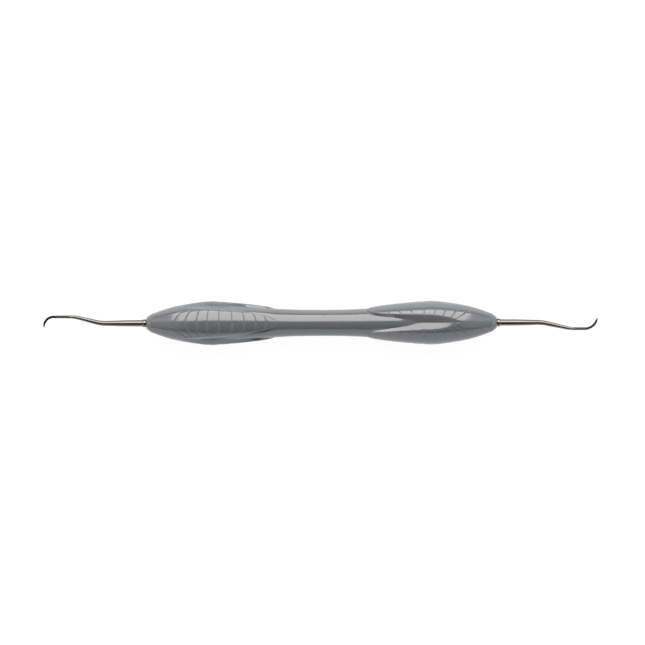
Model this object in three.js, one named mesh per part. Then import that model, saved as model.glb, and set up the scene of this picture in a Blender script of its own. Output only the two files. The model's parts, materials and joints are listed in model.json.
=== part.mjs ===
// A double-ended dental hand scaler. A soft grip sleeve is moulded over a hollow rigid core, and at each end
// a turned socket, a bead collar and a bent steel tip with a hooked sickle blade share the handle's axis.
// Millimetres and degrees. The handle's middle is above the origin, and its axis runs along X at the height
// at which the widest pad touches the surface that the tool lies on, z = 0.

import * as THREE from "three";

const { clamp, degToRad, lerp, smoothstep } = THREE.MathUtils;

// ---- Handle ----
const HANDLE_LENGTH = 103.8;
const HANDLE_END = HANDLE_LENGTH / 2;
const MAX_RADIUS = 6.5;
const WIDEST = 33; // distance of the widest place from the handle's middle
const END_FACE_RADIUS = 1.42;
const END_FACE_SPLIT = 1.18; // the part of the end face inside this radius is behind the collar

// ---- Grip pads: three on each bulge, and the two bulges are turned half a pitch from each other ----
const PADS = 3;
const HALF_PITCH = 180 / PADS;
const PAD_START = 13.2;
const PAD_STEP = 0.25;
const VALLEY_END = 41;
const EDGE_ROUND = 0.18; // share of a pad's wall that the round on its edge takes, each way
const NARROWEST_WALL = 0.8; // degrees
const VALLEY_ROUND = 0.18; // how far a valley floor's rounded sides are below its middle
const LEFT_CLOCKING = 0;
const RIGHT_CLOCKING = HALF_PITCH;

// ---- Grooves across the pads ----
const GROOVES = [16.3, 19.3, 22.7, 26.3, 30.2, 33.7, 36.9, 40.2, 43.5]; // on a pad's middle line
const GROOVE_MIDDLE = 30.2; // the one groove that is straight across
const LAST_GROOVE = GROOVES.at(-1);
const GROOVE_HALF_WIDTH = 0.2;
const GROOVE_DEPTH = 0.12;
const BOW_ANGLE = 45; // off the pad's middle line, where the bow's rates below hold
const BOW_RATE = 0.15;
const BOW_CUBE_RATE = 0.0005;

// ---- Pieces on the axis ----
const FIT = 0.03;
const CORE_END = 48.3;
const SOCKET_START = 36.2;
const SOCKET_RADIUS = 2.03;
const CORE_BORE_RADIUS = 1.5;
const PLUG_START = 36.5;
const PLUG_END = 49.5;
const PLUG_RADIUS = SOCKET_RADIUS - FIT;
const PLUG_FLANGE_RADIUS = 2.35;
const PLUG_END_GAP = 0.05;
const PLUG_CHAMFER = 0.4;
const PLUG_GROOVE_START = 41;
const PLUG_GROOVE_END = 44;
const DRILL_POINT = 0.3;
const TANG_START = 38;
const TANG_RADIUS = 0.87;
const TANG_GROOVE_RADIUS = 0.72;
const TANG_GROOVES = [41, 45];
const TANG_GROOVE_LENGTH = 1.4;
const TANG_CHAMFER = 0.3;
const SHANK_RADIUS = 0.92;
const COLLAR_LENGTH = 1.0;
const COLLAR_RADIUS = 1.16;
const COLLAR_RIM_RADIUS = 1;

// ---- Tips, along the wire from the handle's middle ----
const BEND_LENGTH = 2.8;
const FIRST_BEND = 63.9;
const LEAN = 8;
const FLATS_START = 74.6; // two flats run along the wire's end, and the blade carries them on
const FLATS_LENGTH = 1.2; // over which they deepen
const FLATS_SHARE = 0.72; // how far out they are in the end, as a share of the wire's radius
const BLADE_START = 78.8;
const BLADE_HEEL = 0.35; // the wire turns into the blade over this length, each way
const LEFT_TIP = {
  bend: 14, // turn of the first bend, which the second one undoes
  secondBend: 71.9,
  hook: 79.57,
  hookRadius: 2.8,
  hookTurn: 98.6,
  leanSign: 1,
};
const RIGHT_TIP = {
  bend: 12.3,
  secondBend: 72.7,
  hook: 78.28,
  hookRadius: 3.78,
  hookTurn: 82,
  leanSign: -1,
};

// ---- Mesh fineness ----
const GRIP_LINES = 42;
const LINE_STEP = 360 / GRIP_LINES;
const LINES_TO_VALLEY = HALF_PITCH / LINE_STEP;
const TURNED_SEGMENTS = 24;
const WIRE_SIDES = 12;
const LINES_TO_EDGE = 3; // mesh lines from a pad's middle to its edge
const LINES_TO_FOOT = 6; // and to the foot of its wall
const NEAREST_EDGE = 9; // the angles that the edge's mesh line stays between
const FURTHEST_EDGE = 54;
const FURTHEST_FOOT = 58.5;
const LINE_GAP = 2; // least angle between the edge's mesh line and the foot's
const LINES_BEGIN = 4; // how far before the pads the mesh lines start to gather
const LINES_END = 3; // and how far before the end face they are spread out again
const EDGE_ROUNDS = 12;
const STRIDES = 10; // steps along the wire between two rings

const SILICONE = { color: 0x6f7175, roughness: 0.22, metalness: 0 };
const CORE_PLASTIC = { color: 0x2f3236, roughness: 0.5, metalness: 0 };
const SOCKET_STEEL = { color: 0xa9a9a6, roughness: 0.35, metalness: 1 };
const POLISHED_STEEL = { color: 0xc4c2bd, roughness: 0.14, metalness: 1 };

// A function through [x, y] points, straight between them.
function straight(points) {
  return (x) => {
    const i = clamp(points.findIndex((p) => p[0] > x), -1, points.length - 1);
    const after = i < 0 ? points.length - 1 : Math.max(i, 1);
    const [x0, y0] = points[after - 1];
    const [x1, y1] = points[after];
    return lerp(y0, y1, clamp((x - x0) / (x1 - x0), 0, 1));
  };
}

// A function through [x, y] points, cubic between them. A point's slope is that of its neighbours' chord.
function smooth(points) {
  const slopes = points.map((_, i) => {
    const [x0, y0] = points[Math.max(i - 1, 0)];
    const [x1, y1] = points[Math.min(i + 1, points.length - 1)];
    return (y1 - y0) / (x1 - x0);
  });
  return (x) => {
    const i = points.findIndex((p) => p[0] > x);
    const after = i < 0 ? points.length - 1 : Math.max(i, 1);
    const [x0, y0] = points[after - 1];
    const [x1, y1] = points[after];
    const t = clamp((x - x0) / (x1 - x0), 0, 1);
    const bend = (slopes[after - 1] * (1 - t) - slopes[after] * t) * (x1 - x0) * t * (1 - t);
    return lerp(y0, y1, t * t * (3 - 2 * t)) + bend;
  };
}

// Numbers from one value to another, both included.
function steps(from, to, count) {
  return Array.from({ length: count + 1 }, (_, i) => lerp(from, to, i / count));
}

// A profile of [distance along the axis, radius] points turned round the X axis.
function turned(profile, segments = TURNED_SEGMENTS) {
  const points = profile.map(([x, r]) => new THREE.Vector2(r, x));
  const closed = [...points, points[0].clone()];
  return new THREE.LatheGeometry(closed, segments).rotateZ(-Math.PI / 2);
}

// ---- The grip's surface ----
// Distances from here on are from the handle's middle, and angles are from the middle line of a pad.

// Neck and valley floors: one surface, which the pads stand on.
const floorRadius = smooth([
  [0, 3.88],
  [6, 3.94],
  [9.5, 4.05],
  [PAD_START, 4.23],
  [20, 4.7],
  [25, 5.03],
  [30, 5.3],
  [34, 5.52],
  [37, 5.58],
  [VALLEY_END, 5.48],
]);

// Tops of the pads, and past the valleys' ends the cone that runs down to the end face.
const crestRadius = smooth([
  [PAD_START, 4.44],
  [16, 4.92],
  [20, 5.45],
  [25, 5.98],
  [30, 6.38],
  [WIDEST, MAX_RADIUS],
  [36, 6.24],
  [VALLEY_END, 5.48],
  [44, 4.84],
  [47, 3.96],
  [49, 3.24],
  [50.5, 2.66],
  [51.2, 2.14],
  [51.7, 1.7],
  [HANDLE_END, END_FACE_RADIUS],
]);

// A pad is a leaf: a rounded point at the neck, and widest where it meets its neighbours. The leaf is drawn
// twice, at the edge of the pad's top and at the foot of its walls, as the half angle over the square root of
// the distance past the pad's point.
const edgeLeaf = smooth([
  [0, 0],
  [1.4, 19],
  [2.1, 27.3],
  [2.8, 32.5],
  [3.4, 35.2],
  [3.86, 36.6],
  [4.3, 38.4],
  [4.69, 41.3],
  [5.06, 47],
  [5.27, 57],
]);
const footLeaf = smooth([
  [0, 0],
  [1.4, 20.5],
  [2.1, 30.5],
  [2.8, 41],
  [3.4, 49],
  [3.86, 56],
  [4.15, HALF_PITCH],
]);

function padHalfAngle(distance) {
  return edgeLeaf(Math.sqrt(Math.max(distance - PAD_START, 0)));
}

function footAngle(distance) {
  return footLeaf(Math.sqrt(Math.max(distance - PAD_START, 0)));
}

// 1 on a pad, 0 on the neck and the valley floors, and between them on a wall with a rounded edge.
function padCover(distance, angle) {
  const edge = padHalfAngle(distance);
  const wall = Math.max(footAngle(distance) - edge, NARROWEST_WALL);
  const down = (Math.abs(angle) - edge) / wall;
  const roundedDown = Math.max(down + EDGE_ROUND, 0) ** 2 / (4 * EDGE_ROUND);
  const fallen = clamp(down > EDGE_ROUND ? down : roundedDown, 0, 1);
  return (1 - fallen) * smoothstep(distance, PAD_START, PAD_START + PAD_STEP);
}

// Radius of the neck and the valley floors. Between two pads a floor is a tongue with rounded sides.
function valleyRadius(distance, angle) {
  const halfWidth = Math.max(HALF_PITCH - footAngle(distance), 1);
  const off = clamp((HALF_PITCH - Math.abs(angle)) / halfWidth, 0, 1);
  const rounding = smoothstep(distance, PAD_START, 17) * (1 - smoothstep(distance, 26, 30));
  return floorRadius(distance) - VALLEY_ROUND * rounding * off ** 4;
}

// How far a groove's ends lie back towards the straight groove.
function grooveBow(station) {
  const past = station - GROOVE_MIDDLE;
  const bow = BOW_RATE * past + BOW_CUBE_RATE * Math.max(past, 0) ** 3;
  return bow * (1 - smoothstep(station, LAST_GROOVE, HANDLE_END));
}

function bowedDistance(station, angle) {
  return station - grooveBow(station) * (angle / BOW_ANGLE) ** 2;
}

// Depth of the V groove that a station on the pad's middle line is in.
function grooveDepth(station) {
  const off = Math.min(...GROOVES.map((groove) => Math.abs(station - groove)));
  return GROOVE_DEPTH * clamp(1 - off / GROOVE_HALF_WIDTH, 0, 1);
}

// Where the bowed line of a station crosses the pad's edge.
function edgeAngle(station) {
  let angle = padHalfAngle(station);
  for (let round = 0; round < EDGE_ROUNDS; round += 1) {
    angle = (angle + padHalfAngle(bowedDistance(station, angle))) / 2;
  }
  return clamp(angle, NEAREST_EDGE, FURTHEST_EDGE);
}

// Angle of a mesh line, counted from a pad's middle. Lines run along the pad's edge and down its wall.
function lineAngle(line, station) {
  const edge = edgeAngle(station);
  const foot = clamp(footAngle(bowedDistance(station, edge)), edge + LINE_GAP, FURTHEST_FOOT);
  const followed = straight([
    [0, 0],
    [LINES_TO_EDGE, edge],
    [LINES_TO_FOOT, foot],
    [LINES_TO_VALLEY, HALF_PITCH],
  ]);
  const begun = smoothstep(station, PAD_START - LINES_BEGIN, PAD_START);
  const ended = smoothstep(station, LAST_GROOVE, HANDLE_END - LINES_END);
  const number = Math.abs(line);
  return Math.sign(line) * lerp(number * LINE_STEP, followed(number), begun * (1 - ended));
}

// The point of the grip's surface at a signed station and a mesh line.
function gripPoint(signedStation, lineNumber) {
  const side = Math.sign(signedStation) || 1;
  const station = Math.abs(signedStation);
  const clocking = side < 0 ? LEFT_CLOCKING : RIGHT_CLOCKING;
  const fromPad = lineNumber - clocking / LINE_STEP;
  const pad = Math.round(fromPad / (2 * LINES_TO_VALLEY));
  const angle = lineAngle(fromPad - pad * 2 * LINES_TO_VALLEY, station);
  const bowAngle = Math.min(Math.abs(angle), edgeAngle(station));
  const distance = bowedDistance(station, bowAngle);
  const crest = crestRadius(distance) - grooveDepth(station);
  const valley = valleyRadius(distance, angle);
  const radius = distance > VALLEY_END ? crest : lerp(valley, crest, padCover(distance, angle));
  const turn = degToRad(angle + clocking + pad * 2 * HALF_PITCH);
  return new THREE.Vector3(side * distance, -radius * Math.sin(turn), radius * Math.cos(turn));
}

function gripStations() {
  const grooves = GROOVES.flatMap((x) => [x - GROOVE_HALF_WIDTH, x, x + GROOVE_HALF_WIDTH]);
  const neck = [3.5, 7, 10, 12, PAD_START, PAD_START + PAD_STEP, 14.2, 15.4];
  const nose = [45.2, 46.8, 48.2, 49.4, 50.3, 51, 51.5, HANDLE_END - 0.12];
  const half = [...neck, ...grooves, WIDEST, ...nose, HANDLE_END].sort((a, b) => a - b);
  return [...half.map((x) => -x).reverse(), 0, ...half];
}

// ---- Handle core: waisted inside each bulge, so that the moulded sleeve can't slide off it ----
const coreOutline = [
  [0, 2.6],
  [12, 2.7],
  [20, 3.5],
  [27, 4.15],
  [27.6, 3.6],
  [33, 3.6],
  [33.6, 4.2],
  [40, 3.75],
  [CORE_END, 2.55],
];

// A half outline with its mirror image, from the left end to the right end.
function mirrored(half) {
  const left = half.filter(([x]) => x > 0).map(([x, r]) => [-x, r]);
  return [...left.reverse(), ...half];
}

function gripSleeve() {
  const stations = gripStations();
  const outer = stations.map((x) => [x, MAX_RADIUS]);
  const pocketEnd = PLUG_END + PLUG_END_GAP;
  const endBore = SHANK_RADIUS + FIT;
  const rightBore = [
    ...coreOutline.map(([x, r]) => [x, r + FIT]),
    [CORE_END + FIT, PLUG_FLANGE_RADIUS + FIT],
    [pocketEnd, PLUG_FLANGE_RADIUS + FIT],
    [pocketEnd, endBore],
    [HANDLE_END, endBore],
    [HANDLE_END, END_FACE_SPLIT],
  ];
  const bore = mirrored(rightBore).reverse();
  const geometry = turned([...outer, ...bore], GRIP_LINES);
  const position = geometry.getAttribute("position");
  const pointsEachLine = outer.length + bore.length + 1;
  for (let line = 0; line <= GRIP_LINES; line += 1) {
    const sculpted = stations.map((station) => gripPoint(station, line % GRIP_LINES));
    sculpted.push(...Array(bore.length).fill(null), sculpted[0]);
    sculpted.forEach((point, i) => {
      if (point) position.setXYZ(line * pointsEachLine + i, point.x, point.y, point.z);
    });
  }
  return geometry;
}

function handleCore() {
  const rightBore = [
    [0, CORE_BORE_RADIUS],
    [SOCKET_START - 0.5, CORE_BORE_RADIUS],
    [SOCKET_START, SOCKET_RADIUS],
    [CORE_END, SOCKET_RADIUS],
  ];
  return turned([...mirrored(coreOutline), ...mirrored(rightBore).reverse()]);
}

// A turned steel socket: a barrel with a grip groove, a flange on the core's end face, and a blind bore.
function endPlug() {
  const bore = TANG_RADIUS + FIT;
  const blindEnd = TANG_START - FIT;
  const flangeStart = CORE_END + FIT;
  const low = PLUG_RADIUS - PLUG_CHAMFER;
  const profile = [
    [PLUG_START, 0],
    [PLUG_START, low],
    [PLUG_START + PLUG_CHAMFER, PLUG_RADIUS],
    [PLUG_GROOVE_START, PLUG_RADIUS],
    [PLUG_GROOVE_START + PLUG_CHAMFER, low],
    [PLUG_GROOVE_END - PLUG_CHAMFER, low],
    [PLUG_GROOVE_END, PLUG_RADIUS],
    [flangeStart, PLUG_RADIUS],
    [flangeStart, PLUG_FLANGE_RADIUS],
    [PLUG_END, PLUG_FLANGE_RADIUS],
    [PLUG_END, bore],
    [blindEnd, bore],
    [blindEnd - DRILL_POINT, 0],
  ].map(([x, r]) => new THREE.Vector2(r, x));
  return new THREE.LatheGeometry(profile, TURNED_SEGMENTS).rotateZ(-Math.PI / 2);
}

// A bead with a flat back on the handle's end face and a small flat rim at its front.
function collar() {
  const back = HANDLE_END + FIT;
  const front = back + COLLAR_LENGTH;
  const bore = SHANK_RADIUS + FIT;
  const bulge = steps(0, Math.PI, 6).map((turn) => [
    lerp(back, front, (1 - Math.cos(turn)) / 2),
    lerp(COLLAR_RIM_RADIUS, COLLAR_RADIUS, Math.sin(turn)),
  ]);
  return turned([[back, bore], ...bulge, [front, bore]]);
}

// ---- Tips ----
const tangOutline = [
  [TANG_START, TANG_RADIUS - TANG_CHAMFER],
  [TANG_START + TANG_CHAMFER, TANG_RADIUS],
  ...TANG_GROOVES.flatMap((start) => [
    [start, TANG_RADIUS],
    [start + TANG_CHAMFER, TANG_GROOVE_RADIUS],
    [start + TANG_GROOVE_LENGTH - TANG_CHAMFER, TANG_GROOVE_RADIUS],
    [start + TANG_GROOVE_LENGTH, TANG_RADIUS],
  ]),
  [PLUG_END + 0.1, TANG_RADIUS],
  [PLUG_END + 0.2, SHANK_RADIUS],
];
const tangRadius = straight(tangOutline);
const SHANK_START = 53;
const shankRadius = smooth([
  [SHANK_START, SHANK_RADIUS],
  [58, 0.88],
  [63, 0.74],
  [67, 0.66],
  [72, 0.53],
  [75, 0.43],
  [79, 0.41],
]);

// The blade's depth in the plane of its hook and the width of its flat inner face, from heel to point.
const bladeDepth = smooth([
  [0, 0.78],
  [0.1, 0.71],
  [0.65, 0.63],
  [0.87, 0.44],
  [1, 0.12],
]);
const bladeWidth = smooth([
  [0, 0.66],
  [0.12, 0.56],
  [0.7, 0.46],
  [1, 0.08],
]);
const BLADE_BACK_SHARE = 0.78; // width of the back, as a share of the inner face's
const BLADE_BACK_START = 0.45; // depth at which the sides end and the back's ridge begins

// The section of the blade, a keystone: a flat face on the hook's inside and a narrow rounded back.
function bladeSection(turn, depth, width) {
  const inwards = straight([
    [0, depth / 2],
    [1 / 6, depth / 2],
    [5 / 6, -depth * BLADE_BACK_START],
    [1, -depth / 2],
  ]);
  const across = straight([
    [0, 0],
    [1 / 6, width / 2],
    [5 / 6, (width * BLADE_BACK_SHARE) / 2],
    [1, 0],
  ]);
  const share = Math.abs(turn) / Math.PI;
  return [inwards(share), Math.sign(turn) * across(share)];
}

// The wire's centre line: a shallow double bend, then the hook, which curls back across the handle's axis.
// Past the second bend the tip also leans out of the plane of its bends.
function wireDirection(distance, shape) {
  const hookLength = shape.hookRadius * degToRad(shape.hookTurn);
  const bends = [
    { start: FIRST_BEND, length: BEND_LENGTH, turn: -shape.bend },
    { start: shape.secondBend, length: BEND_LENGTH, turn: shape.bend },
    { start: shape.hook, length: hookLength, turn: shape.hookTurn },
  ];
  const heading = bends.reduce(
    (sum, bend) => sum + bend.turn * clamp((distance - bend.start) / bend.length, 0, 1),
    0,
  );
  const lean = shape.leanSign * LEAN * clamp((distance - shape.secondBend) / BEND_LENGTH, 0, 1);
  const leaning = new THREE.Matrix4().makeRotationY(degToRad(-lean));
  const turning = new THREE.Matrix4().makeRotationZ(degToRad(heading));
  return leaning.multiply(turning);
}

function tip(shape) {
  const end = shape.hook + shape.hookRadius * degToRad(shape.hookTurn);
  const distances = [
    ...tangOutline.map(([x]) => x),
    ...[SHANK_START, 56, 59, 62],
    ...steps(FIRST_BEND, FIRST_BEND + BEND_LENGTH, 4),
    69.5,
    ...steps(shape.secondBend, shape.secondBend + BEND_LENGTH, 4),
    ...[FLATS_START + FLATS_LENGTH, 77, BLADE_START - 1],
    ...steps(BLADE_START - BLADE_HEEL, end, 18),
  ];
  const frames = [];
  const centre = new THREE.Vector3(TANG_START, 0, 0);
  distances.forEach((distance, i) => {
    const before = distances[Math.max(i - 1, 0)];
    for (let stride = 0; stride < STRIDES; stride += 1) {
      const at = lerp(before, distance, (stride + 0.5) / STRIDES);
      const ahead = new THREE.Vector3(1, 0, 0).applyMatrix4(wireDirection(at, shape));
      centre.addScaledVector(ahead, (distance - before) / STRIDES);
    }
    frames.push(wireDirection(distance, shape).setPosition(centre));
  });

  const rings = distances.length - 1;
  const geometry = new THREE.CylinderGeometry(1, 1, 1, WIRE_SIDES, rings);
  const position = geometry.getAttribute("position");
  const point = new THREE.Vector3();
  for (let i = 0; i < position.count; i += 1) {
    point.fromBufferAttribute(position, i);
    const ring = Math.round((point.y + 0.5) * rings);
    const distance = distances[ring];
    const out = Math.hypot(point.x, point.z);
    const turn = Math.atan2(point.x, point.z);
    const radius = distance < SHANK_START ? tangRadius(distance) : shankRadius(distance);
    const along = clamp((distance - BLADE_START) / (end - BLADE_START), 0, 1);
    const [inwards, across] = bladeSection(turn, bladeDepth(along), bladeWidth(along));
    const ground = smoothstep(distance, BLADE_START - BLADE_HEEL, BLADE_START + BLADE_HEEL);
    const flat = lerp(1, FLATS_SHARE, smoothstep(distance, FLATS_START, FLATS_START + FLATS_LENGTH));
    point.y = lerp(radius * Math.cos(turn), inwards, ground);
    point.z = lerp(radius * clamp(Math.sin(turn), -flat, flat), across, ground);
    point.setX(0).multiplyScalar(out).applyMatrix4(frames[ring]);
    position.setXYZ(i, point.x, point.y, point.z);
  }
  return geometry;
}

// ---- Assembly ----
const scaler = new THREE.Group();
scaler.position.z = MAX_RADIUS;

function add(name, geometry, finish) {
  const mesh = new THREE.Mesh(geometry, new THREE.MeshStandardMaterial(finish));
  mesh.name = name;
  scaler.add(mesh);
  return mesh;
}

add("grip_sleeve", gripSleeve(), SILICONE);
add("handle_core", handleCore(), CORE_PLASTIC);

const ends = [
  { side: "left", turn: Math.PI, shape: LEFT_TIP },
  { side: "right", turn: 0, shape: RIGHT_TIP },
];
for (const { side, turn, shape } of ends) {
  add(side + "_end_plug", endPlug(), SOCKET_STEEL).rotation.z = turn;
  add(side + "_collar", collar(), POLISHED_STEEL).rotation.z = turn;
  add(side + "_tip", tip(shape), POLISHED_STEEL).rotation.z = turn;
}

export default scaler;
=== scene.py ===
"""The looks of a double-ended dental hand scaler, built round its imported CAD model.

The silicone grip, the steel collars and tips, and the core and sockets that the grip hides are each made
again as a fine mesh on the CAD model's own dimensions. Shapes are in millimetres and degrees, and every
point is turned into metres as its mesh is made.
"""

import json
import math

import bpy
import numpy as np
from mathutils import Matrix, Vector


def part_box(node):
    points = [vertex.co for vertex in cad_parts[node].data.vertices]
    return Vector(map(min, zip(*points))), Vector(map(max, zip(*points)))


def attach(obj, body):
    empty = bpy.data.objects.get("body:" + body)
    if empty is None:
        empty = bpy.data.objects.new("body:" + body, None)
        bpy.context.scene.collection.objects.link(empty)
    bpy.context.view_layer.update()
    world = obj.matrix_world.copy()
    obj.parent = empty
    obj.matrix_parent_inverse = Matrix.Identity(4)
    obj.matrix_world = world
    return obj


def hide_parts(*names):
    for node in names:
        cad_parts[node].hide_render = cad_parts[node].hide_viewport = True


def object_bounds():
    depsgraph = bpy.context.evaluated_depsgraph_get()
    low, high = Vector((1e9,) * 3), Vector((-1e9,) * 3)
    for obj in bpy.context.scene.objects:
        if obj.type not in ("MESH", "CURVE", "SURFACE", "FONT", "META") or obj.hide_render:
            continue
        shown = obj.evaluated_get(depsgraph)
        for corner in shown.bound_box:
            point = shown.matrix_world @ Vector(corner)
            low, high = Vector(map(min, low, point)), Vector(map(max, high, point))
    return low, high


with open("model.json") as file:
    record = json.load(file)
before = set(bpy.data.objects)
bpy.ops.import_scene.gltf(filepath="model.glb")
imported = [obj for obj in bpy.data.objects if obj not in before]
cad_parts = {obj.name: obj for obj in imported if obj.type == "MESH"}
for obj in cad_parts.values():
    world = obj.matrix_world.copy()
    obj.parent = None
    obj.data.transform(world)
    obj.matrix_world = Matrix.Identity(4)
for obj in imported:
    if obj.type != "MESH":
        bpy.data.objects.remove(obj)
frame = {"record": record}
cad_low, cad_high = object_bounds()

MM = 0.001

# ---- Sizes from the frame ----
_, grip_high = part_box("grip_sleeve")
mount_places = {mount["name"]: mount["pos_m"] for mount in frame["record"]["mounts"]}
AXIS_HEIGHT = mount_places["neck_rest"][2] / MM
HANDLE_END = grip_high.x / MM
MAX_RADIUS = AXIS_HEIGHT

# ---- Grip pads, as in the CAD model ----
WIDEST = 33  # distance of the widest place from the handle's middle
END_FACE_RADIUS = 1.42
PADS = 3
HALF_PITCH = 180 / PADS
PAD_START = 13.2
PAD_STEP = 0.25
VALLEY_END = 41
NARROWEST_WALL = 0.8  # degrees
VALLEY_ROUND = 0.18  # how far a valley floor's rounded sides are below its middle
VALLEY_ROUNDED = 17  # where the floors' sides are fully rounded
LEFT_CLOCKING = 0
RIGHT_CLOCKING = HALF_PITCH

GROOVES = (16.3, 19.3, 22.7, 26.3, 30.2, 33.7, 36.9, 40.2, 43.5)  # on a pad's middle line
GROOVE_MIDDLE = 30.2  # the one groove that is straight across
LAST_GROOVE = GROOVES[-1]
GROOVE_DEPTH = 0.12
BOW_ANGLE = 45  # off the pad's middle line, where the bow's rates below hold
BOW_RATE = 0.15
BOW_CUBE_RATE = 0.0005

# ---- Fine shape of the grip, where it goes further than the CAD model ----
NEAR_BOW_RATE = 0.16  # the bow's rate from the middle groove towards the neck
GROOVE_HALF_WIDTH = 0.18
CROWN = 0.03  # how far each rib's sides are below its middle
CROWN_FADE = 1.5  # past the outer grooves, the surface is back on the crest line after this distance
RIBBED_FROM = 0.72  # shares of a wall's height between which the grooves fade in
RIBBED_TO = 0.92
EDGE_ROUND = 0.2  # share of a pad's wall that the round on its edge takes, each way
WALL_CURVE = 1.4  # 1 is a straight wall, and more is a hollow one, steepest at the pad's edge
WALL_CURVE_FROM = 18  # the walls turn from straight to hollow between these distances
WALL_CURVE_TO = 26
FLOOR_LIFT = 0.25  # where a floor is hollow, its sides are this share of VALLEY_ROUND above its middle
FLOOR_LIFT_FROM = 18  # the floors turn from rounded to hollow between these distances
FLOOR_LIFT_TO = 25

# ---- Pieces on the axis, as in the CAD model ----
FIT = 0.03
CORE_END = 48.3
CORE_BORE_RADIUS = 1.5
SOCKET_START = 36.2
SOCKET_CONE = 0.5  # length of the cone from the core's bore to the socket's hole
SOCKET_RADIUS = 2.03
PLUG_START = 36.5
PLUG_END = 49.5
PLUG_RADIUS = SOCKET_RADIUS - FIT
PLUG_FLANGE_RADIUS = 2.35
PLUG_END_GAP = 0.05
PLUG_CHAMFER = 0.4
PLUG_GROOVE_START = 41
PLUG_GROOVE_END = 44
DRILL_POINT = 0.3
TANG_START = 38
TANG_RADIUS = 0.87
TANG_GROOVE_RADIUS = 0.72
TANG_GROOVES = (41, 45)
TANG_GROOVE_LENGTH = 1.4
TANG_CHAMFER = 0.3
SHANK_STEP = 0.1  # the tang widens to the shank over this length, this far past the plug
SHANK_START = 53
SHANK_RADIUS = 0.92
COLLAR_LENGTH = 1.0
COLLAR_RADIUS = 1.16
COLLAR_RIM_RADIUS = 0.97  # 0.03 less than in the CAD model, for a rounder bead

# ---- Tips, along the wire from the handle's middle, as in the CAD model ----
BEND_LENGTH = 2.8
FIRST_BEND = 63.9
LEAN = 8
FLATS_START = 74.6  # two flats run along the wire's end, and the blade carries them on
FLATS_LENGTH = 1.2  # over which they deepen
FLATS_SHARE = 0.72  # how far out they are in the end, as a share of the wire's radius
BLADE_START = 78.8
BLADE_HEEL = 0.35  # the wire turns into the blade over this length, each way
BLADE_BACK_SHARE = 0.78  # width of the back, as a share of the inner face's
BLADE_BACK_START = 0.45  # depth at which the sides end and the rounded back begins
LEFT_TIP = {
    "bend": 14,  # turn of the first bend, which the second one undoes
    "second_bend": 71.9,
    "hook": 79.57,
    "hook_radius": 2.8,
    "hook_turn": 98.6,
    "lean_sign": 1,
}
RIGHT_TIP = {
    "bend": 12.3,
    "second_bend": 72.7,
    "hook": 78.28,
    "hook_radius": 3.78,
    "hook_turn": 82,
    "lean_sign": -1,
}

# ---- Fineness of the meshes: lines run along the handle, and rings round it ----
PAD_LINES = 18  # from a pad's middle to its edge
WALL_LINES = 14
VALLEY_LINES = 8
HALF_LINES = PAD_LINES + WALL_LINES + VALLEY_LINES
GRIP_LINES = 2 * PADS * HALF_LINES
EDGE_ROUNDS = 12  # steps to find where a ring crosses a pad's edge
NEAREST_EDGE = 9  # the angles that the edge's line stays between
FURTHEST_EDGE = 54
LINE_GAP = 1  # least angle between the lines of the edge, the foot and the valley's middle
LINES_BEGIN = 4  # how far before the pads the lines start to gather
LINES_END = 3  # and how far before the end face they are spread out again
PAD_GATHERING = 1.5  # 1 spaces lines evenly, and more gathers them: on a pad, towards its edge
WALL_GATHERING = 1.2  # on a wall, also towards the edge
VALLEY_GATHERING = 1.3  # on a valley floor, towards the foot of the wall
NECK_RINGS = 26
STEP_RINGS = 12
POINT_RINGS = 6
GROOVE_RINGS = 9
RIB_RINGS = 6
NOSE_RINGS = 43
BEAD_RINGS = 25
TURNED_SIDES = 96
WIRE_SIDES = 48
STRIDES = 8  # steps along the wire between two rings
BENDS_LEAD = 0.5  # how far before the first bend a tip's rings come close together
BLADE_LEAD = 0.6  # and how far before the blade
CORE_ROUNDING = 0.15
PLUG_ROUNDING = 0.05
CORNER_SHARE = 0.45  # the most of a side that a rounded corner takes


def clamp(value, low, high):
    return np.minimum(np.maximum(value, low), high)


def ease(value, start, end):
    """0 before start, 1 after end, and a smooth step between."""
    share = clamp((value - start) / (end - start), 0, 1)
    return share * share * (3 - 2 * share)


def mix(a, b, share):
    return a + (b - a) * share


def smooth(points):
    """A function through (x, y) points, cubic between them. A point's slope is its neighbours' chord's."""
    x, y = np.array(points, float).T
    before = np.maximum(np.arange(len(x)) - 1, 0)
    after = np.minimum(np.arange(len(x)) + 1, len(x) - 1)
    slope = (y[after] - y[before]) / (x[after] - x[before])

    def at(value):
        value = np.asarray(value, float)
        i = clamp(np.searchsorted(x, value, side="right") - 1, 0, len(x) - 2)
        width = x[i + 1] - x[i]
        t = clamp((value - x[i]) / width, 0, 1)
        bend = (slope[i] * (1 - t) - slope[i + 1] * t) * width * t * (1 - t)
        return mix(y[i], y[i + 1], t * t * (3 - 2 * t)) + bend

    return at


def straight(points):
    """A function through (x, y) points, straight between them."""
    x, y = np.array(points, float).T
    return lambda value: np.interp(value, x, y)


# ---- Meshes ----
def make_piece(name, points, faces, replaced, material, slot, smooth_below):
    """An object in metres from points in millimetres about the handle's axis. It stands for a CAD node."""
    placed = np.asarray(points, float) + (0, 0, AXIS_HEIGHT)
    mesh = bpy.data.meshes.new(name)
    mesh.from_pydata((placed * MM).tolist(), [], faces)
    mesh.validate()
    mesh.shade_smooth()
    mesh.set_sharp_from_angle(angle=math.radians(smooth_below))
    mesh.materials.append(material)
    piece = bpy.data.objects.new(name, mesh)
    bpy.context.scene.collection.objects.link(piece)
    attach(piece, "root")
    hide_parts(replaced)
    return piece


def add_attribute(piece, name, values):
    """A number or a vector for each vertex, which the materials read."""
    values = np.asarray(values, np.float32)
    kind, field = ("FLOAT", "value") if values.ndim == 1 else ("FLOAT_VECTOR", "vector")
    layer = piece.data.attributes.new(name, kind, "POINT")
    layer.data.foreach_set(field, values.ravel())


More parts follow.
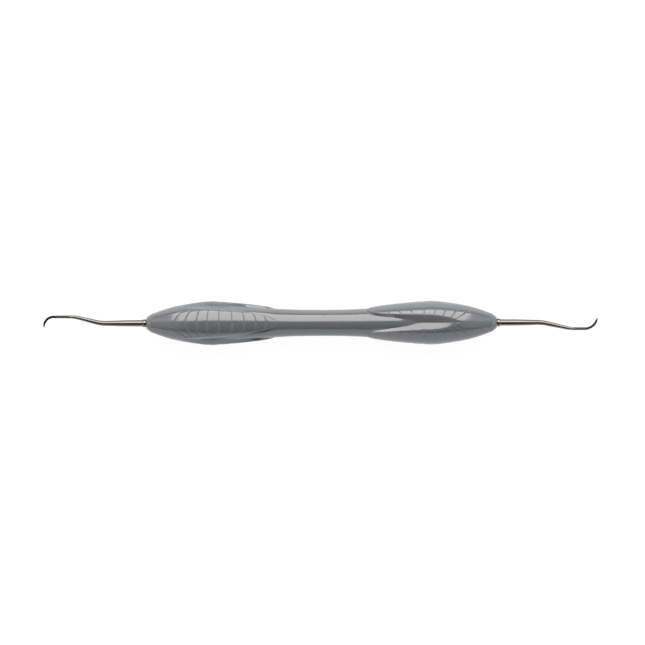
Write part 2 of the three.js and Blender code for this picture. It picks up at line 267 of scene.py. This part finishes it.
def half_turned(points):
    """Points at the right end, turned half round the vertical axis to the left end."""
    return points * np.array([-1, -1, 1])


def ring_faces(rings, sides, closed=False):
    """Quads between neighbouring rings of points. A closed tube's last ring joins its first."""
    faces = []
    for ring in range(rings if closed else rings - 1):
        here = ring * sides
        there = (ring + 1) % rings * sides
        for side in range(sides):
            after = (side + 1) % sides
            faces.append((here + side, here + after, there + after, there + side))
    return faces


def fan(centre, ring_start, sides):
    """Triangles from a centre point to a ring of points."""
    return [(centre, ring_start + (side + 1) % sides, ring_start + side) for side in range(sides)]


def capped_faces(rings, sides):
    """An open tube's faces, and fans round two centre points, whose numbers follow those of the rings."""
    first_centre = rings * sides
    first_fan = fan(first_centre, 0, sides)
    last_fan = [face[::-1] for face in fan(first_centre + 1, (rings - 1) * sides, sides)]
    return ring_faces(rings, sides) + first_fan + last_fan


def spun(profile, sides=TURNED_SIDES):
    """Points of a profile of (distance, radius) turned round the X axis, ring by ring."""
    turns = np.linspace(0, 2 * math.pi, sides, endpoint=False)
    distance, radius = np.array(profile, float).T
    across = np.outer(radius, np.cos(turns))
    up = np.outer(radius, np.sin(turns))
    return np.stack([np.broadcast_to(distance[:, None], across.shape), across, up], axis=2)


def rounded(profile, size, closed, steps=5):
    """A profile with each corner cut by an arc-like curve that starts size away from it."""
    points = np.array(profile, float)
    result = []
    for i, corner in enumerate(points):
        before, after = points[i - 1], points[(i + 1) % len(points)]
        if not closed and i in (0, len(points) - 1):
            result.append(corner)
            continue
        back, ahead = before - corner, after - corner
        back_length, ahead_length = np.linalg.norm(back), np.linalg.norm(ahead)
        reach = min(size, back_length * CORNER_SHARE, ahead_length * CORNER_SHARE)
        start = corner + back / back_length * reach
        end = corner + ahead / ahead_length * reach
        for t in np.linspace(0, 1, steps):
            result.append((1 - t) ** 2 * start + 2 * t * (1 - t) * corner + t * t * end)
    return np.array(result)


# ---- The grip's surface: distances from the handle's middle, and angles from the middle line of a pad ----

# Neck and valley floors: one surface, which the pads stand on.
floor_radius = smooth(
    [
        (0, 3.88),
        (6, 3.94),
        (9.5, 4.05),
        (PAD_START, 4.23),
        (20, 4.7),
        (25, 5.03),
        (30, 5.3),
        (34, 5.52),
        (37, 5.58),
        (VALLEY_END, 5.48),
    ]
)

# Tops of the pads, and past the valleys' ends the cone that runs down to the end face.
crest_radius = smooth(
    [
        (PAD_START, 4.44),
        (16, 4.92),
        (20, 5.45),
        (25, 5.98),
        (30, 6.38),
        (WIDEST, MAX_RADIUS),
        (36, 6.24),
        (VALLEY_END, 5.48),
        (44, 4.84),
        (47, 3.96),
        (49, 3.24),
        (50.5, 2.66),
        (51.2, 2.14),
        (51.7, 1.7),
        (HANDLE_END, END_FACE_RADIUS),
    ]
)

# A pad is a leaf, drawn twice as the half angle over past_point: at the edge of its top as in the CAD model,
# and at the foot of its walls, which is further out than the CAD model's near the pad's point.
edge_leaf = smooth(
    [
        (0, 0),
        (1.4, 19),
        (2.1, 27.3),
        (2.8, 32.5),
        (3.4, 35.2),
        (3.86, 36.6),
        (4.3, 38.4),
        (4.69, 41.3),
        (5.06, 47),
        (5.27, 57),
    ]
)
foot_leaf = smooth(
    [
        (0, 2),
        (1.1, 20),
        (1.7, 28.5),
        (2.8, 40),
        (3.4, 49),
        (3.86, 56),
        (4.15, HALF_PITCH),
    ]
)


def past_point(distance):
    """Grows as a square root from a pad's point, which rounds the point."""
    return np.sqrt(np.maximum(distance - PAD_START, 0))


def pad_cover(distance, angle):
    """1 on a pad, 0 on the neck and the valley floors, and between them on a wall with a rounded edge."""
    edge, foot = edge_leaf(past_point(distance)), foot_leaf(past_point(distance))
    down = (np.abs(angle) - edge) / np.maximum(foot - edge, NARROWEST_WALL)
    rounded_down = clamp(down + EDGE_ROUND, 0, 2 * EDGE_ROUND) ** 2 / (4 * EDGE_ROUND)
    fallen = clamp(np.where(down > EDGE_ROUND, down, rounded_down), 0, 1)
    curve = mix(1, WALL_CURVE, ease(distance, WALL_CURVE_FROM, WALL_CURVE_TO))
    return (1 - fallen) ** curve * ease(distance, PAD_START, PAD_START + PAD_STEP)


def valley_radius(distance, angle):
    """The neck and the valley floors. Between two pads a floor is rounded near the neck, then hollow."""
    half_width = np.maximum(HALF_PITCH - foot_leaf(past_point(distance)), 1)
    off = clamp((HALF_PITCH - np.abs(angle)) / half_width, 0, 1)
    lifted = ease(distance, FLOOR_LIFT_FROM, FLOOR_LIFT_TO)
    rounding = ease(distance, PAD_START, VALLEY_ROUNDED) * mix(1, -FLOOR_LIFT, lifted)
    return floor_radius(distance) - VALLEY_ROUND * rounding * off**4


def groove_bow(station):
    """How far a groove's ends lie back towards the straight groove."""
    past = station - GROOVE_MIDDLE
    bow = np.where(past > 0, BOW_RATE * past + BOW_CUBE_RATE * past**3, NEAR_BOW_RATE * past)
    return bow * (1 - ease(station, LAST_GROOVE, HANDLE_END))


def bowed_distance(station, angle):
    return station - groove_bow(station) * (angle / BOW_ANGLE) ** 2


def groove_share(station):
    """1 in the bottom of a groove and 0 outside it, rounded at the bottom and at both lips."""
    off = min(abs(station - groove) for groove in GROOVES)
    return (1 + math.cos(math.pi * min(off / GROOVE_HALF_WIDTH, 1))) / 2


def crown_drop(station):
    """How far a rib's surface is below the crest line: nothing at its middle, and most at its grooves."""
    if station < GROOVES[0] or station > LAST_GROOVE:
        past = max(GROOVES[0] - station, station - LAST_GROOVE)
        return CROWN * (1 - ease(past, 0, CROWN_FADE))
    along_rib = np.interp(station, GROOVES, range(len(GROOVES))) % 1
    return CROWN * (2 * along_rib - 1) ** 2


def edge_angle(station):
    """Where the bowed line of a station crosses the pad's edge."""
    angle = edge_leaf(past_point(station))
    for _ in range(EDGE_ROUNDS):
        angle = (angle + edge_leaf(past_point(bowed_distance(station, angle)))) / 2
    return clamp(angle, NEAREST_EDGE, FURTHEST_EDGE)


def line_angles(station):
    """The angles of the mesh lines from a pad's middle, 0, to the valley's middle, at one station."""
    edge = edge_angle(station)
    foot = foot_leaf(past_point(bowed_distance(station, edge)))
    foot = clamp(foot, edge + LINE_GAP, HALF_PITCH - LINE_GAP)
    pad = edge * (1 - (1 - np.linspace(0, 1, PAD_LINES + 1)) ** PAD_GATHERING)
    wall = mix(edge, foot, np.linspace(0, 1, WALL_LINES + 1)[1:] ** WALL_GATHERING)
    valley = mix(foot, HALF_PITCH, np.linspace(0, 1, VALLEY_LINES + 1)[1:] ** VALLEY_GATHERING)
    followed = np.concatenate([pad, wall, valley])
    even = np.linspace(0, HALF_PITCH, HALF_LINES + 1)
    begun = ease(station, PAD_START - LINES_BEGIN, PAD_START)
    ended = ease(station, LAST_GROOVE, HANDLE_END - LINES_END)
    return mix(even, followed, begun * (1 - ended))


def grip_ring(signed_station):
    """One ring of the grip's surface: its points, and how deep each is in a groove."""
    station = abs(signed_station)
    side, clocking = (-1, LEFT_CLOCKING) if signed_station < 0 else (1, RIGHT_CLOCKING)
    half = line_angles(station)
    angle = np.tile(np.concatenate([half[:-1], half[:0:-1]]), PADS)
    distance = bowed_distance(station, np.minimum(angle, edge_angle(station)))
    cover = pad_cover(distance, angle)
    ribbed = ease(cover, RIBBED_FROM, RIBBED_TO)
    groove = groove_share(station) * ribbed
    crest = crest_radius(distance)
    plain = np.where(distance > VALLEY_END, crest, mix(valley_radius(distance, angle), crest, cover))
    radius = plain - GROOVE_DEPTH * groove - crown_drop(station) * ribbed
    # Past a valley's middle, the angles are those before the next pad.
    line = np.arange(GRIP_LINES)
    sign = np.where(line // HALF_LINES % 2 == 0, 1, -1)
    pad = (line + HALF_LINES) // (2 * HALF_LINES)
    turn = np.radians(sign * angle + pad * 2 * HALF_PITCH)
    # Lines start at the same place on both bulges, so that one net of faces covers the neck.
    shift = round(clocking / HALF_PITCH) * HALF_LINES
    turn = np.roll(turn, shift) + math.radians(clocking)
    distance, radius, groove = (np.roll(values, shift) for values in (distance, radius, groove))
    points = np.stack([side * distance, -radius * np.sin(turn), radius * np.cos(turn)], axis=1)
    return points, groove


def grip_stations():
    """Stations from the neck's middle to the end face, close together where the surface turns fast."""
    step_start = PAD_START - 0.1
    step_end = PAD_START + PAD_STEP + 0.2
    ribs_start = GROOVES[0] - GROOVE_HALF_WIDTH
    ribs_end = LAST_GROOVE + GROOVE_HALF_WIDTH
    neck = np.linspace(0, step_start - 0.1, NECK_RINGS)
    step = np.linspace(step_start, step_end, STEP_RINGS)
    point = np.linspace(step_end, ribs_start, POINT_RINGS + 2)[1:-1]
    groove_offsets = np.linspace(-1, 1, GROOVE_RINGS) * GROOVE_HALF_WIDTH
    rib_shares = np.linspace(0.1, 0.9, RIB_RINGS)
    ribs = [GROOVES[0] + groove_offsets]
    for bottom, next_bottom in zip(GROOVES[:-1], GROOVES[1:]):
        ribs.append(mix(bottom + GROOVE_HALF_WIDTH, next_bottom - GROOVE_HALF_WIDTH, rib_shares))
        ribs.append(next_bottom + groove_offsets)
    nose_turn = np.linspace(0, math.pi / 2, NOSE_RINGS + 1)[1:]
    nose = ribs_end + (HANDLE_END - ribs_end) * np.sin(nose_turn)
    return np.concatenate([neck, step, point, *ribs, nose])


CORE_OUTLINE = [
    (0, 2.6),
    (12, 2.7),
    (20, 3.5),
    (27, 4.15),
    (27.6, 3.6),
    (33, 3.6),
    (33.6, 4.2),
    (40, 3.75),
    (CORE_END, 2.55),
]


def mirrored(half):
    """A half outline with its mirror image, from the left end to the right end."""
    return [(-x, r) for x, r in reversed(half) if x > 0] + list(half)


def sleeve_bore():
    """The hollow that the core and the plugs fill, from the right end face to the left one."""
    pocket_end = PLUG_END + PLUG_END_GAP
    end_bore = SHANK_RADIUS + FIT
    half = [(x, r + FIT) for x, r in CORE_OUTLINE]
    half += [
        (CORE_END + FIT, PLUG_FLANGE_RADIUS + FIT),
        (pocket_end, PLUG_FLANGE_RADIUS + FIT),
        (pocket_end, end_bore),
        (HANDLE_END, end_bore),
    ]
    return mirrored(half)[::-1]


def make_grip(material):
    """The ribbed surface from end to end and back through the bore, with the grooves as an attribute."""
    half = grip_stations()
    stations = np.concatenate([-half[:0:-1], half])
    rings, grooves = zip(*(grip_ring(station) for station in stations))
    bore = spun(sleeve_bore(), GRIP_LINES)
    # The bore's points start on +Y, and the grip's lines on +Z: turn the bore to match.
    matched = bore[:, :, [0, 2, 1]] * (1, -1, 1)
    points = np.concatenate([rings, matched]).reshape(-1, 3)
    faces = ring_faces(len(rings) + len(matched), GRIP_LINES, closed=True)
    names = {"name": "silicone_grip", "replaced": "grip_sleeve", "slot": "grip_silicone"}
    piece = make_piece(points=points, faces=faces, material=material, smooth_below=50, **names)
    in_bore = np.zeros(len(matched) * GRIP_LINES)
    add_attribute(piece, "groove", np.concatenate([*grooves, in_bore]))


# ---- Pieces on the axis ----
def make_turned(name, profile, turned_round, replaced, material, slot):
    """A turned solid. A profile that starts on the axis is closed by fans, and any other one by itself."""
    if profile[0][1] == 0:
        rings = spun(profile[1:-1])
        centres = [(profile[0][0], 0, 0), (profile[-1][0], 0, 0)]
        points = np.concatenate([rings.reshape(-1, 3), centres])
        faces = capped_faces(len(rings), TURNED_SIDES)
    else:
        rings = spun(profile)
        points = rings.reshape(-1, 3)
        faces = ring_faces(len(rings), TURNED_SIDES, closed=True)
    if turned_round:
        points = half_turned(points)
    make_piece(name, points, faces, replaced, material, slot, smooth_below=40)


def core_profile():
    half_bore = [
        (0, CORE_BORE_RADIUS),
        (SOCKET_START - SOCKET_CONE, CORE_BORE_RADIUS),
        (SOCKET_START, SOCKET_RADIUS),
        (CORE_END, SOCKET_RADIUS),
    ]
    outline = mirrored(CORE_OUTLINE) + mirrored(half_bore)[::-1]
    return rounded(outline, CORE_ROUNDING, closed=True)


def plug_profile():
    bore = TANG_RADIUS + FIT
    bore_end = TANG_START - FIT
    flange_start = CORE_END + FIT
    low = PLUG_RADIUS - PLUG_CHAMFER
    corners = [
        (PLUG_START, 0),
        (PLUG_START, low),
        (PLUG_START + PLUG_CHAMFER, PLUG_RADIUS),
        (PLUG_GROOVE_START, PLUG_RADIUS),
        (PLUG_GROOVE_START + PLUG_CHAMFER, low),
        (PLUG_GROOVE_END - PLUG_CHAMFER, low),
        (PLUG_GROOVE_END, PLUG_RADIUS),
        (flange_start, PLUG_RADIUS),
        (flange_start, PLUG_FLANGE_RADIUS),
        (PLUG_END, PLUG_FLANGE_RADIUS),
        (PLUG_END, bore),
        (bore_end, bore),
        (bore_end - DRILL_POINT, 0),
    ]
    return rounded(corners, PLUG_ROUNDING, closed=False)


def collar_profile():
    back = HANDLE_END + FIT
    front = back + COLLAR_LENGTH
    bore = SHANK_RADIUS + FIT
    bulge = [
        (
            mix(back, front, (1 - math.cos(turn)) / 2),
            mix(COLLAR_RIM_RADIUS, COLLAR_RADIUS, math.sin(turn)),
        )
        for turn in np.linspace(0, math.pi, BEAD_RINGS)
    ]
    return [(back, bore), *bulge, (front, bore)]


# ---- Tips ----
def tang_outline():
    """The tang's chamfered end, the grooves that hold it in its socket, and the step up to the shank."""
    points = [(TANG_START, TANG_RADIUS - TANG_CHAMFER), (TANG_START + TANG_CHAMFER, TANG_RADIUS)]
    for start in TANG_GROOVES:
        end = start + TANG_GROOVE_LENGTH
        points += [
            (start, TANG_RADIUS),
            (start + TANG_CHAMFER, TANG_GROOVE_RADIUS),
            (end - TANG_CHAMFER, TANG_GROOVE_RADIUS),
            (end, TANG_RADIUS),
        ]
    points += [(PLUG_END + SHANK_STEP, TANG_RADIUS), (PLUG_END + 2 * SHANK_STEP, SHANK_RADIUS)]
    return points


tang_radius = straight(tang_outline())
shank_radius = smooth(
    [
        (SHANK_START, SHANK_RADIUS),
        (58, 0.88),
        (63, 0.74),
        (67, 0.66),
        (72, 0.53),
        (75, 0.43),
        (79, 0.41),
    ]
)

# The blade's depth and width over the share of its length.
blade_depth = smooth([(0, 0.78), (0.1, 0.71), (0.65, 0.63), (0.87, 0.44), (1, 0.12)])
blade_width = smooth([(0, 0.66), (0.12, 0.56), (0.7, 0.46), (1, 0.08)])


def on_flats(distance):
    """0 where the wire is round, and 1 where its flats are at their full depth."""
    return ease(distance, FLATS_START, FLATS_START + FLATS_LENGTH)


def on_blade(distance):
    """0 on the wire, and 1 on the blade."""
    return ease(distance, BLADE_START - BLADE_HEEL, BLADE_START + BLADE_HEEL)


def blade_section(turn, depth, width):
    """A keystone: a flat face on the hook's inside, straight sides, and a narrow rounded back."""
    share = np.abs(turn) / math.pi
    face, back = 1 / 6, 5 / 6  # where the face ends and the back begins, as shares of half a turn
    on_side = clamp((share - face) / (back - face), 0, 1)
    on_back = clamp((share - back) / (1 - back), 0, 1) * math.pi / 2
    inwards = mix(0.5, -BLADE_BACK_START, on_side) - (0.5 - BLADE_BACK_START) * np.sin(on_back)
    across = clamp(share / face, 0, 1) * mix(0.5, BLADE_BACK_SHARE / 2, on_side) * np.cos(on_back)
    return inwards * depth, np.sign(turn) * across * width


def hook_length(shape):
    return shape["hook_radius"] * math.radians(shape["hook_turn"])


def wire_turn(distance, shape):
    """The rotation of the wire's centre line at a distance along it."""
    bends = [
        (FIRST_BEND, BEND_LENGTH, -shape["bend"]),
        (shape["second_bend"], BEND_LENGTH, shape["bend"]),
        (shape["hook"], hook_length(shape), shape["hook_turn"]),
    ]
    heading = sum(turn * clamp((distance - start) / length, 0, 1) for start, length, turn in bends)
    leaned = clamp((distance - shape["second_bend"]) / BEND_LENGTH, 0, 1)
    leaning = Matrix.Rotation(math.radians(-shape["lean_sign"] * LEAN * leaned), 3, "Y")
    return np.array(leaning @ Matrix.Rotation(math.radians(heading), 3, "Z"))


def tip_distances(end):
    """Distances along the wire, close together in the tang's grooves, the bends and the blade."""
    tang_chamfered = TANG_START + TANG_CHAMFER
    past_step = PLUG_END + 3 * SHANK_STEP
    before_bends = FIRST_BEND - BENDS_LEAD
    past_bends = FLATS_START + FLATS_LENGTH
    before_blade = BLADE_START - BLADE_LEAD
    rings_between = [
        (TANG_START, tang_chamfered, 3),
        (tang_chamfered, PLUG_END, 110),
        (PLUG_END, past_step, 7),
        (past_step, before_bends, 30),
        (before_bends, past_bends, 84),
        (past_bends, before_blade, 14),
        (before_blade, end, 120),
    ]
    parts = [np.linspace(start, stop, rings, endpoint=False) for start, stop, rings in rings_between]
    return np.concatenate([*parts, [end]])


def tip_section(distance, end):
    """One ring's points about the wire's centre line: the round wire, with its flats, and then the blade."""
    turn = np.linspace(-math.pi, math.pi, WIRE_SIDES, endpoint=False)
    radius = tang_radius(distance) if distance < SHANK_START else shank_radius(distance)
    flat = mix(1, FLATS_SHARE, on_flats(distance))
    wire_inwards = radius * np.cos(turn)
    wire_across = radius * clamp(np.sin(turn), -flat, flat)
    share = clamp((distance - BLADE_START) / (end - BLADE_START), 0, 1)
    inwards, across = blade_section(turn, blade_depth(share), blade_width(share))
    ground = on_blade(distance)
    along = np.zeros(WIRE_SIDES)
    return np.stack([along, mix(wire_inwards, inwards, ground), mix(wire_across, across, ground)], axis=1)


def tip_rings(distances, shape):
    """The rings of a bent tip, and the same rings on a straight wire."""
    centre = np.array([TANG_START, 0, 0], float)
    bent, unbent = [], []
    for before, distance in zip([distances[0], *distances[:-1]], distances):
        stride = (distance - before) / STRIDES
        for number in range(STRIDES):
            centre = centre + wire_turn(before + (number + 0.5) * stride, shape)[:, 0] * stride
        section = tip_section(distance, distances[-1])
        bent.append(section @ wire_turn(distance, shape).T + centre)
        unbent.append(section + (distance, 0, 0))
    return bent, unbent


def make_tip(name, shape, turned_round, replaced, material):
    """A tip. Its attributes are its points on a straight wire, and its two ground stretches."""
    distances = tip_distances(shape["hook"] + hook_length(shape))
    bent, unbent = tip_rings(distances, shape)
    points = np.concatenate([*bent, [bent[0].mean(axis=0), bent[-1].mean(axis=0)]])
    if turned_round:
        points = half_turned(points)
    faces = capped_faces(len(bent), WIRE_SIDES)
    piece = make_piece(name, points, faces, replaced, material, "tip_steel", smooth_below=35)
    unbent_points = np.concatenate([*unbent, [(distances[0], 0, 0), (distances[-1], 0, 0)]])
    blade = on_blade(unbent_points[:, 0])
    add_attribute(piece, "unbent", unbent_points * MM)
    add_attribute(piece, "blade", blade)
    add_attribute(piece, "flats", on_flats(unbent_points[:, 0]) * (1 - blade))


# ---- Materials: noise scales are per metre, and bump depths are in metres ----
class Shader:
    """A node material under construction."""

    def __init__(self, name):
        self.material = bpy.data.materials.new(name)
        self.material.use_nodes = True
        self.tree = self.material.node_tree
        self.principled = self.tree.nodes["Principled BSDF"]

    def set(self, **values):
        for key, value in values.items():
            self.principled.inputs[key.replace("_", " ")].default_value = value

    def link(self, output, socket):
        self.tree.links.new(output, self.principled.inputs[socket])

    def fill(self, socket, value):
        """Links a node's output to a socket, or gives the socket a plain value."""
        if isinstance(value, bpy.types.NodeSocket):
            self.tree.links.new(value, socket)
        else:
            socket.default_value = value

    def node(self, kind, inputs=(), **settings):
        made = self.tree.nodes.new("ShaderNode" + kind)
        for key, value in settings.items():
            setattr(made, key, value)
        for key, value in dict(inputs).items():
            self.fill(made.inputs[key], value)
        return made

    def attribute(self, name, output="Fac"):
        """A mesh attribute: the output Fac is for a number, and Vector for a vector."""
        return self.node("Attribute", attribute_name=name).outputs[output]

    def place(self, stretch=(1, 1, 1), attribute=None):
        """Coordinates in metres on the object, or from a vector attribute, stretched."""
        if attribute:
            source = self.attribute(attribute, "Vector")
        else:
            source = self.node("TexCoord").outputs["Object"]
        return self.node("Mapping", {"Vector": source, "Scale": stretch}).outputs["Vector"]

    def noise(self, place, scale, detail=3.0, roughness=0.5):
        settings = {"Vector": place, "Scale": scale, "Detail": detail, "Roughness": roughness}
        return self.node("TexNoise", settings).outputs["Fac"]

    def remap(self, value, low=0, high=1, from_low=0.3, from_high=0.7):
        """Spreads a noise, most of which lies between from_low and from_high, from low to high."""
        settings = {
            "Value": value,
            "From Min": from_low,
            "From Max": from_high,
            "To Min": low,
            "To Max": high,
        }
        return self.node("MapRange", settings).outputs["Result"]

    def math(self, operation, a, b):
        return self.node("Math", {0: a, 1: b}, operation=operation).outputs[0]

    def blend(self, share, a, b):
        """The colour a where share is 0, and b where it is 1. Each is an output or an RGB tuple."""
        made = self.node("Mix", {"Factor": share}, data_type="RGBA")
        for socket, colour in ((made.inputs[6], a), (made.inputs[7], b)):
            self.fill(socket, (*colour, 1) if isinstance(colour, tuple) else colour)
        return made.outputs[2]

    def bump(self, height, depth, below=None):
        inputs = {"Height": height, "Distance": depth, "Strength": 1.0}
        if below is not None:
            inputs["Normal"] = below
        return self.node("Bump", inputs).outputs["Normal"]


def grey(value, tint=(1, 1, 1)):
    return tuple(value * share for share in tint)


SILICONE_TINT = (0.95, 0.99, 1.075)
STEEL_TINT = (1.05, 0.995, 0.94)
STEEL_EDGE_TINT = (0.12, 0.12, 0.12, 1)


def silicone():
    """Glossy moulded silicone: faint mottling and specks, smudges on the gloss, and dust with painted sheen
    in the grooves.
    """
    shader = Shader("grip_silicone")
    place = shader.place()
    groove = shader.attribute("groove")
    clouds = shader.remap(shader.noise(place, scale=55))
    specks = shader.remap(shader.noise(place, scale=2600, detail=2), from_low=0.35, from_high=0.65)
    body = shader.blend(clouds, grey(0.178, SILICONE_TINT), grey(0.188, SILICONE_TINT))
    body = shader.blend(shader.math("MULTIPLY", specks, 0.35), body, grey(0.2, SILICONE_TINT))
    # The grooves are lighter: partly dust, and partly a painted sheen for the light that their walls catch.
    dust_and_sheen = shader.blend(shader.math("MULTIPLY", groove, 0.4), body, grey(0.24, SILICONE_TINT))
    shader.link(dust_and_sheen, "Base Color")
    smudges = shader.remap(shader.noise(place, scale=130, detail=4, roughness=0.6), low=0.13, high=0.2)
    grain = shader.remap(shader.noise(place, scale=4200, detail=2), low=-0.012, high=0.012)
    groove_dullness = shader.math("MULTIPLY", groove, 0.1)
    shader.link(shader.math("ADD", shader.math("ADD", smudges, grain), groove_dullness), "Roughness")
    waves = shader.bump(shader.noise(place, scale=420, detail=2), depth=0.00001)
    skin = shader.bump(shader.noise(place, scale=5200, detail=2), depth=0.0000018, below=waves)
    shader.link(skin, "Normal")
    shader.set(IOR=1.85)
    return shader.material


def steel(name, level, roughness, lines, attribute=None, ground=False):
    """Polished or turned steel: fine lines along or round the piece, and cloudy variation of tone and gloss.
    Where it is ground, it also has dull flats and a dark blade."""
    shader = Shader(name)
    scratches = shader.noise(shader.place(lines, attribute), scale=1000, detail=4, roughness=0.65)
    clouds = shader.remap(shader.noise(shader.place(attribute=attribute), scale=320))
    tone = shader.blend(clouds, grey(level * 0.9, STEEL_TINT), grey(level * 1.08, STEEL_TINT))
    tone = shader.blend(shader.remap(scratches, high=0.2), tone, grey(level * 0.72, STEEL_TINT))
    gloss = shader.remap(scratches, low=roughness * 0.85, high=roughness * 1.15)
    if ground:
        tone = shader.blend(shader.attribute("blade"), tone, grey(level * 0.4))
        crosswise = shader.place((1, 0.08, 0.08), attribute)
        marks = shader.remap(shader.noise(crosswise, scale=9000, roughness=0.6), low=0.25, high=0.28)
        gloss = shader.math("ADD", gloss, shader.math("MULTIPLY", marks, shader.attribute("flats")))
    shader.link(tone, "Base Color")
    shader.link(gloss, "Roughness")
    shader.link(shader.bump(scratches, depth=0.00000025), "Normal")
    shader.set(Metallic=1.0, Specular_Tint=STEEL_EDGE_TINT)
    return shader.material


def core_plastic():
    """Dark moulded plastic with a fine grain and flow marks along the core."""
    shader = Shader("core_plastic")
    place = shader.place()
    flow = shader.remap(shader.noise(shader.place((0.15, 1, 1)), scale=700))
    shader.link(shader.blend(flow, (0.026, 0.03, 0.035), (0.034, 0.038, 0.044)), "Base Color")
    shader.link(shader.remap(shader.noise(place, scale=2500), low=0.42, high=0.58), "Roughness")
    shader.link(shader.bump(shader.noise(place, scale=3500), depth=0.000006), "Normal")
    return shader.material


def floor_material():
    """A pale floor, bright enough by itself to keep shadows faint."""
    shader = Shader("pale_floor")
    mottling = shader.remap(shader.noise(shader.place(), scale=3, detail=2))
    shader.link(shader.blend(mottling, grey(0.075), grey(0.08)), "Base Color")
    shader.set(Roughness=1.0, Specular_IOR_Level=0.0)
    shader.set(Emission_Color=(1, 1, 1, 1), Emission_Strength=0.97)
    return shader.material


# ---- Pieces ----
LINES_ALONG = (0.03, 1, 1)
LINES_ROUND = (1, 0.05, 0.05)
wire_finish = {"lines": LINES_ALONG, "attribute": "unbent", "ground": True}
polished = steel("tip_steel", level=0.2, roughness=0.065, **wire_finish)
turned = steel("collar_steel", level=0.24, roughness=0.08, lines=LINES_ROUND)
rough_turned = steel("socket_steel", level=0.4, roughness=0.33, lines=LINES_ROUND)

make_grip(silicone())
make_turned("inner_core", core_profile(), False, "handle_core", core_plastic(), "core_plastic")
for side, turned_round, shape in (("left", True, LEFT_TIP), ("right", False, RIGHT_TIP)):
    plug = side + "_end_plug"
    make_turned(side + "_socket", plug_profile(), turned_round, plug, rough_turned, "socket_steel")
    collar = side + "_collar"
    make_turned(side + "_bead", collar_profile(), turned_round, collar, turned, "collar_steel")
    make_tip(side + "_working_end", shape, turned_round, side + "_tip", polished)


# ---- Camera: straight above, with a long lens, and placed and turned a little off the object's middle ----
LENS = 180
SENSOR = 36
VIEW_WIDTH = 3.68 * HANDLE_END * MM  # about 1.16 times the object's length
CAMERA_OFFSET = (0.3, 0.11)
CAMERA_ROLL = -0.13
camera_data = bpy.data.cameras.new("camera")
camera_data.lens = LENS
camera_data.sensor_width = SENSOR
camera = bpy.data.objects.new("camera", camera_data)
camera_height = VIEW_WIDTH * LENS / SENSOR
camera.location = (CAMERA_OFFSET[0] * MM, CAMERA_OFFSET[1] * MM, AXIS_HEIGHT * MM + camera_height)
camera.rotation_euler = (0, 0, math.radians(CAMERA_ROLL))
bpy.context.scene.collection.objects.link(camera)
bpy.context.scene.camera = camera


# ---- Floor and lights ----
FLOOR_REACH = 40  # from its middle to its sides, in lengths of the object
BACKDROP_STRENGTH = 1.05
NEUTRAL = (1, 1, 1)
WARM = (1, 0.985, 0.955)
COOL = (0.95, 0.975, 1.04)
SHEEN = {"tilt": 52, "half_tilt": 26, "half_width": 35, "radiance": 0.45}
GLINT = {"tilt": 78, "half_tilt": 8, "half_width": 50, "radiance": 1.2}


def make_floor():
    reach = FLOOR_REACH * (cad_high.x - cad_low.x)
    corners = [(-reach, -reach, 0), (reach, -reach, 0), (reach, reach, 0), (-reach, reach, 0)]
    mesh = bpy.data.meshes.new("floor")
    mesh.from_pydata(corners, [], [(0, 1, 2, 3)])
    mesh.materials.append(floor_material())
    floor = bpy.data.objects.new("floor", mesh)
    bpy.context.scene.collection.objects.link(floor)


def make_softbox(name, tilt, half_tilt, half_width, radiance, distance=1.0, heading=0, tint=NEUTRAL):
    """A flat light that faces the object's middle. Its middle is tilt degrees from straight above, towards
    the heading in degrees from +Y to +X. It reaches half_tilt degrees up and down and half_width degrees
    sideways as the object sees it. The distance is in metres."""
    light = bpy.data.lights.new(name, "AREA")
    light.shape = "RECTANGLE"
    light.color = tint
    light.size = 2 * distance * math.tan(math.radians(half_width))
    light.size_y = 2 * distance * math.tan(math.radians(half_tilt))
    light.energy = radiance * math.pi * light.size * light.size_y
    softbox = bpy.data.objects.new(name, light)
    softbox.rotation_euler = (math.radians(-tilt), 0, math.radians(-heading))
    direction = softbox.rotation_euler.to_matrix() @ Vector((0, 0, 1))
    softbox.location = direction * distance + Vector((0, 0, AXIS_HEIGHT * MM))
    softbox.visible_camera = False
    bpy.context.scene.collection.objects.link(softbox)
    return softbox


make_floor()
make_softbox("key", tilt=43, half_tilt=29, half_width=30, radiance=2.85, tint=WARM)
make_softbox("key_halo", tilt=43, half_tilt=29, half_width=48, radiance=0.55, distance=1.1, tint=WARM)
make_softbox("key_edge", tilt=67, half_tilt=5, half_width=30, radiance=0.8, tint=WARM)
make_softbox("fill", tilt=-75, half_tilt=17, half_width=45, radiance=0.95, tint=COOL)
# The side lights show in glossy surfaces only: they put light lines in the grooves, and tone on the steel.
for side, heading in (("left", -90), ("right", 90)):
    make_softbox(side + "_sheen", heading=heading, **SHEEN).visible_diffuse = False
    make_softbox(side + "_glint", heading=heading, **GLINT).visible_diffuse = False

# A white backdrop past the floor, which neither lights the object nor shows in it.
world = bpy.data.worlds.new("surroundings")
world.use_nodes = True
background = world.node_tree.nodes["Background"]
background.inputs["Color"].default_value = (1, 1, 1, 1)
background.inputs["Strength"].default_value = BACKDROP_STRENGTH
world.cycles_visibility.diffuse = False
world.cycles_visibility.glossy = False
bpy.context.scene.world = world

bpy.context.scene.view_settings.view_transform = "Standard"
